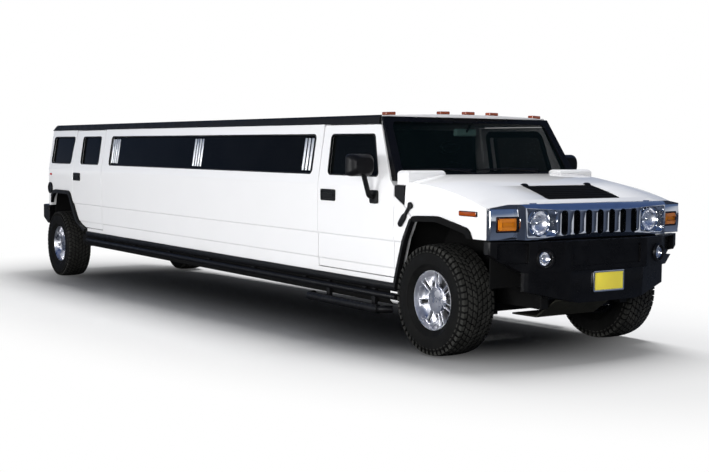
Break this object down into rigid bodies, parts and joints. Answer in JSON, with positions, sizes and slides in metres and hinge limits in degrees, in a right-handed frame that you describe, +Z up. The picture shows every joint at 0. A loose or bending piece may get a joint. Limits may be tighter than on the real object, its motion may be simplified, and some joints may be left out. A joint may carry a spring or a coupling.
{
  "type": "stretched off-road limousine",
  "caption": "Stretched off-road limousine with a long windowed saloon, opening doors, hood and tailgate, steered front wheels and turning wheels.",
  "frame": {"origin": "middle of the whole vehicle's box, on the ground", "axes": "+X forward, +Y to the vehicle's left, +Z up"},
  "size_m": [9.8556, 2.512, 2.0425],
  "materials": {
    "white_paint": "gloss white paint",
    "black_plastic": "satin black moulded plastic",
    "black_metal": "satin black paint",
    "chassis_paint": "matt chassis black",
    "chrome": "polished chrome",
    "tinted_glass": "dark tinted glass",
    "clear_glass": "clear laminated glass",
    "lamp_clear": "clear lamp lens",
    "lamp_amber": "amber lens",
    "lamp_red": "red lens",
    "tyre_rubber": "black rubber",
    "steel": "dark cast steel",
    "interior": "dark grey moulding",
    "leather": "dark leather",
    "skid_paint": "olive grey paint"
  },
  "bodies": {
    "chassis": {"chassis_frame": "chassis_paint", "floor_pan": "chassis_paint", "side_panel_left": "white_paint", "side_panel_right": "white_paint", "quarter_panel_left": "white_paint", "quarter_panel_right": "white_paint", "side_glass": "tinted_glass", "window_dividers": "chrome", "roof_panel": "white_paint", "windscreen_frame": "black_plastic", "windscreen": "clear_glass", "cowl": "white_paint", "body_trims": "black_plastic", "grille_shell": "chrome", "front_lamps": "lamp_clear", "amber_lamps": "lamp_amber", "tail_lamps": "lamp_red", "front_bumper": "black_plastic", "skid_plate": "skid_paint", "rear_bumper": "black_plastic", "front_suspension": "steel", "rear_axle": "steel", "engine_block": "steel", "wheel_housings": "black_plastic", "cabin_fittings": "interior", "seats": "leather"},
    "hood": {"hood": "white_paint", "hood_trims": "black_plastic"},
    "tailgate": {"tailgate": "white_paint", "tailgate_glass": "tinted_glass"},
    "front_door_left": {"front_door_left": "white_paint", "front_door_glass_left": "tinted_glass", "front_door_fittings_left": "black_plastic"},
    "rear_door_left": {"rear_door_left": "white_paint", "rear_door_glass_left": "tinted_glass", "rear_door_fittings_left": "black_plastic"},
    "knuckle_left": {"knuckle_left": "steel"},
    "wheel_front_left": {"tyre_front_left": "tyre_rubber", "rim_front_left": "chrome"},
    "wheel_rear_left": {"tyre_rear_left": "tyre_rubber", "rim_rear_left": "chrome"},
    "front_door_right": {"front_door_right": "white_paint", "front_door_glass_right": "tinted_glass", "front_door_fittings_right": "black_plastic"},
    "rear_door_right": {"rear_door_right": "white_paint", "rear_door_glass_right": "tinted_glass", "rear_door_fittings_right": "black_plastic"},
    "knuckle_right": {"knuckle_right": "steel"},
    "wheel_front_right": {"tyre_front_right": "tyre_rubber", "rim_front_right": "chrome"},
    "wheel_rear_right": {"tyre_rear_right": "tyre_rubber", "rim_rear_right": "chrome"}
  },
  "joints": [
    {"name": "steer_left", "type": "hinge", "parent": "chassis", "child": "knuckle_left", "pos_m": [4.05133, 0.76, 0.4365], "axis": [0.0173, 0, 0.9999], "range_deg": [-33, 33]},
    {"name": "steer_right", "type": "hinge", "parent": "chassis", "child": "knuckle_right", "pos_m": [4.05133, -0.76, 0.4365], "axis": [0.0173, 0, 0.9999], "range_deg": [-33, 33]},
    {"name": "wheel_front_left_spin", "type": "hinge", "parent": "knuckle_left", "child": "wheel_front_left", "pos_m": [4.05133, 0.875, 0.4365], "axis": [0, 1, 0], "continuous": true},
    {"name": "wheel_rear_left_spin", "type": "hinge", "parent": "chassis", "child": "wheel_rear_left", "pos_m": [-4.14867, 0.875, 0.4365], "axis": [0, 1, 0], "continuous": true},
    {"name": "front_door_left_hinge", "type": "hinge", "parent": "chassis", "child": "front_door_left", "pos_m": [3.54517, 1, 1.00885], "axis": [-0.0173, 0, -0.9999], "range_deg": [0, 65]},
    {"name": "rear_door_left_hinge", "type": "hinge", "parent": "chassis", "child": "rear_door_left", "pos_m": [-2.66267, 1, 1.11637], "axis": [-0.0173, 0, -0.9999], "range_deg": [0, 65]},
    {"name": "wheel_front_right_spin", "type": "hinge", "parent": "knuckle_right", "child": "wheel_front_right", "pos_m": [4.05133, -0.875, 0.4365], "axis": [0, 1, 0], "continuous": true},
    {"name": "wheel_rear_right_spin", "type": "hinge", "parent": "chassis", "child": "wheel_rear_right", "pos_m": [-4.14867, -0.875, 0.4365], "axis": [0, 1, 0], "continuous": true},
    {"name": "front_door_right_hinge", "type": "hinge", "parent": "chassis", "child": "front_door_right", "pos_m": [3.54517, -1, 1.00885], "axis": [0.0173, 0, 0.9999], "range_deg": [0, 65]},
    {"name": "rear_door_right_hinge", "type": "hinge", "parent": "chassis", "child": "rear_door_right", "pos_m": [-2.66267, -1, 1.11637], "axis": [0.0173, 0, 0.9999], "range_deg": [0, 65]},
    {"name": "hood_hinge", "type": "hinge", "parent": "chassis", "child": "hood", "pos_m": [4.74852, 0, 1.19204], "axis": [0, 1, 0], "range_deg": [0, 50]},
    {"name": "tailgate_hinge", "type": "hinge", "parent": "chassis", "child": "tailgate", "pos_m": [-4.56353, 0, 1.94941], "axis": [0, 1, 0], "range_deg": [0, 80]}
  ],
  "couplings": [
    {"joint": "steer_right", "follows": "steer_left", "ratio": 1}
  ]
}
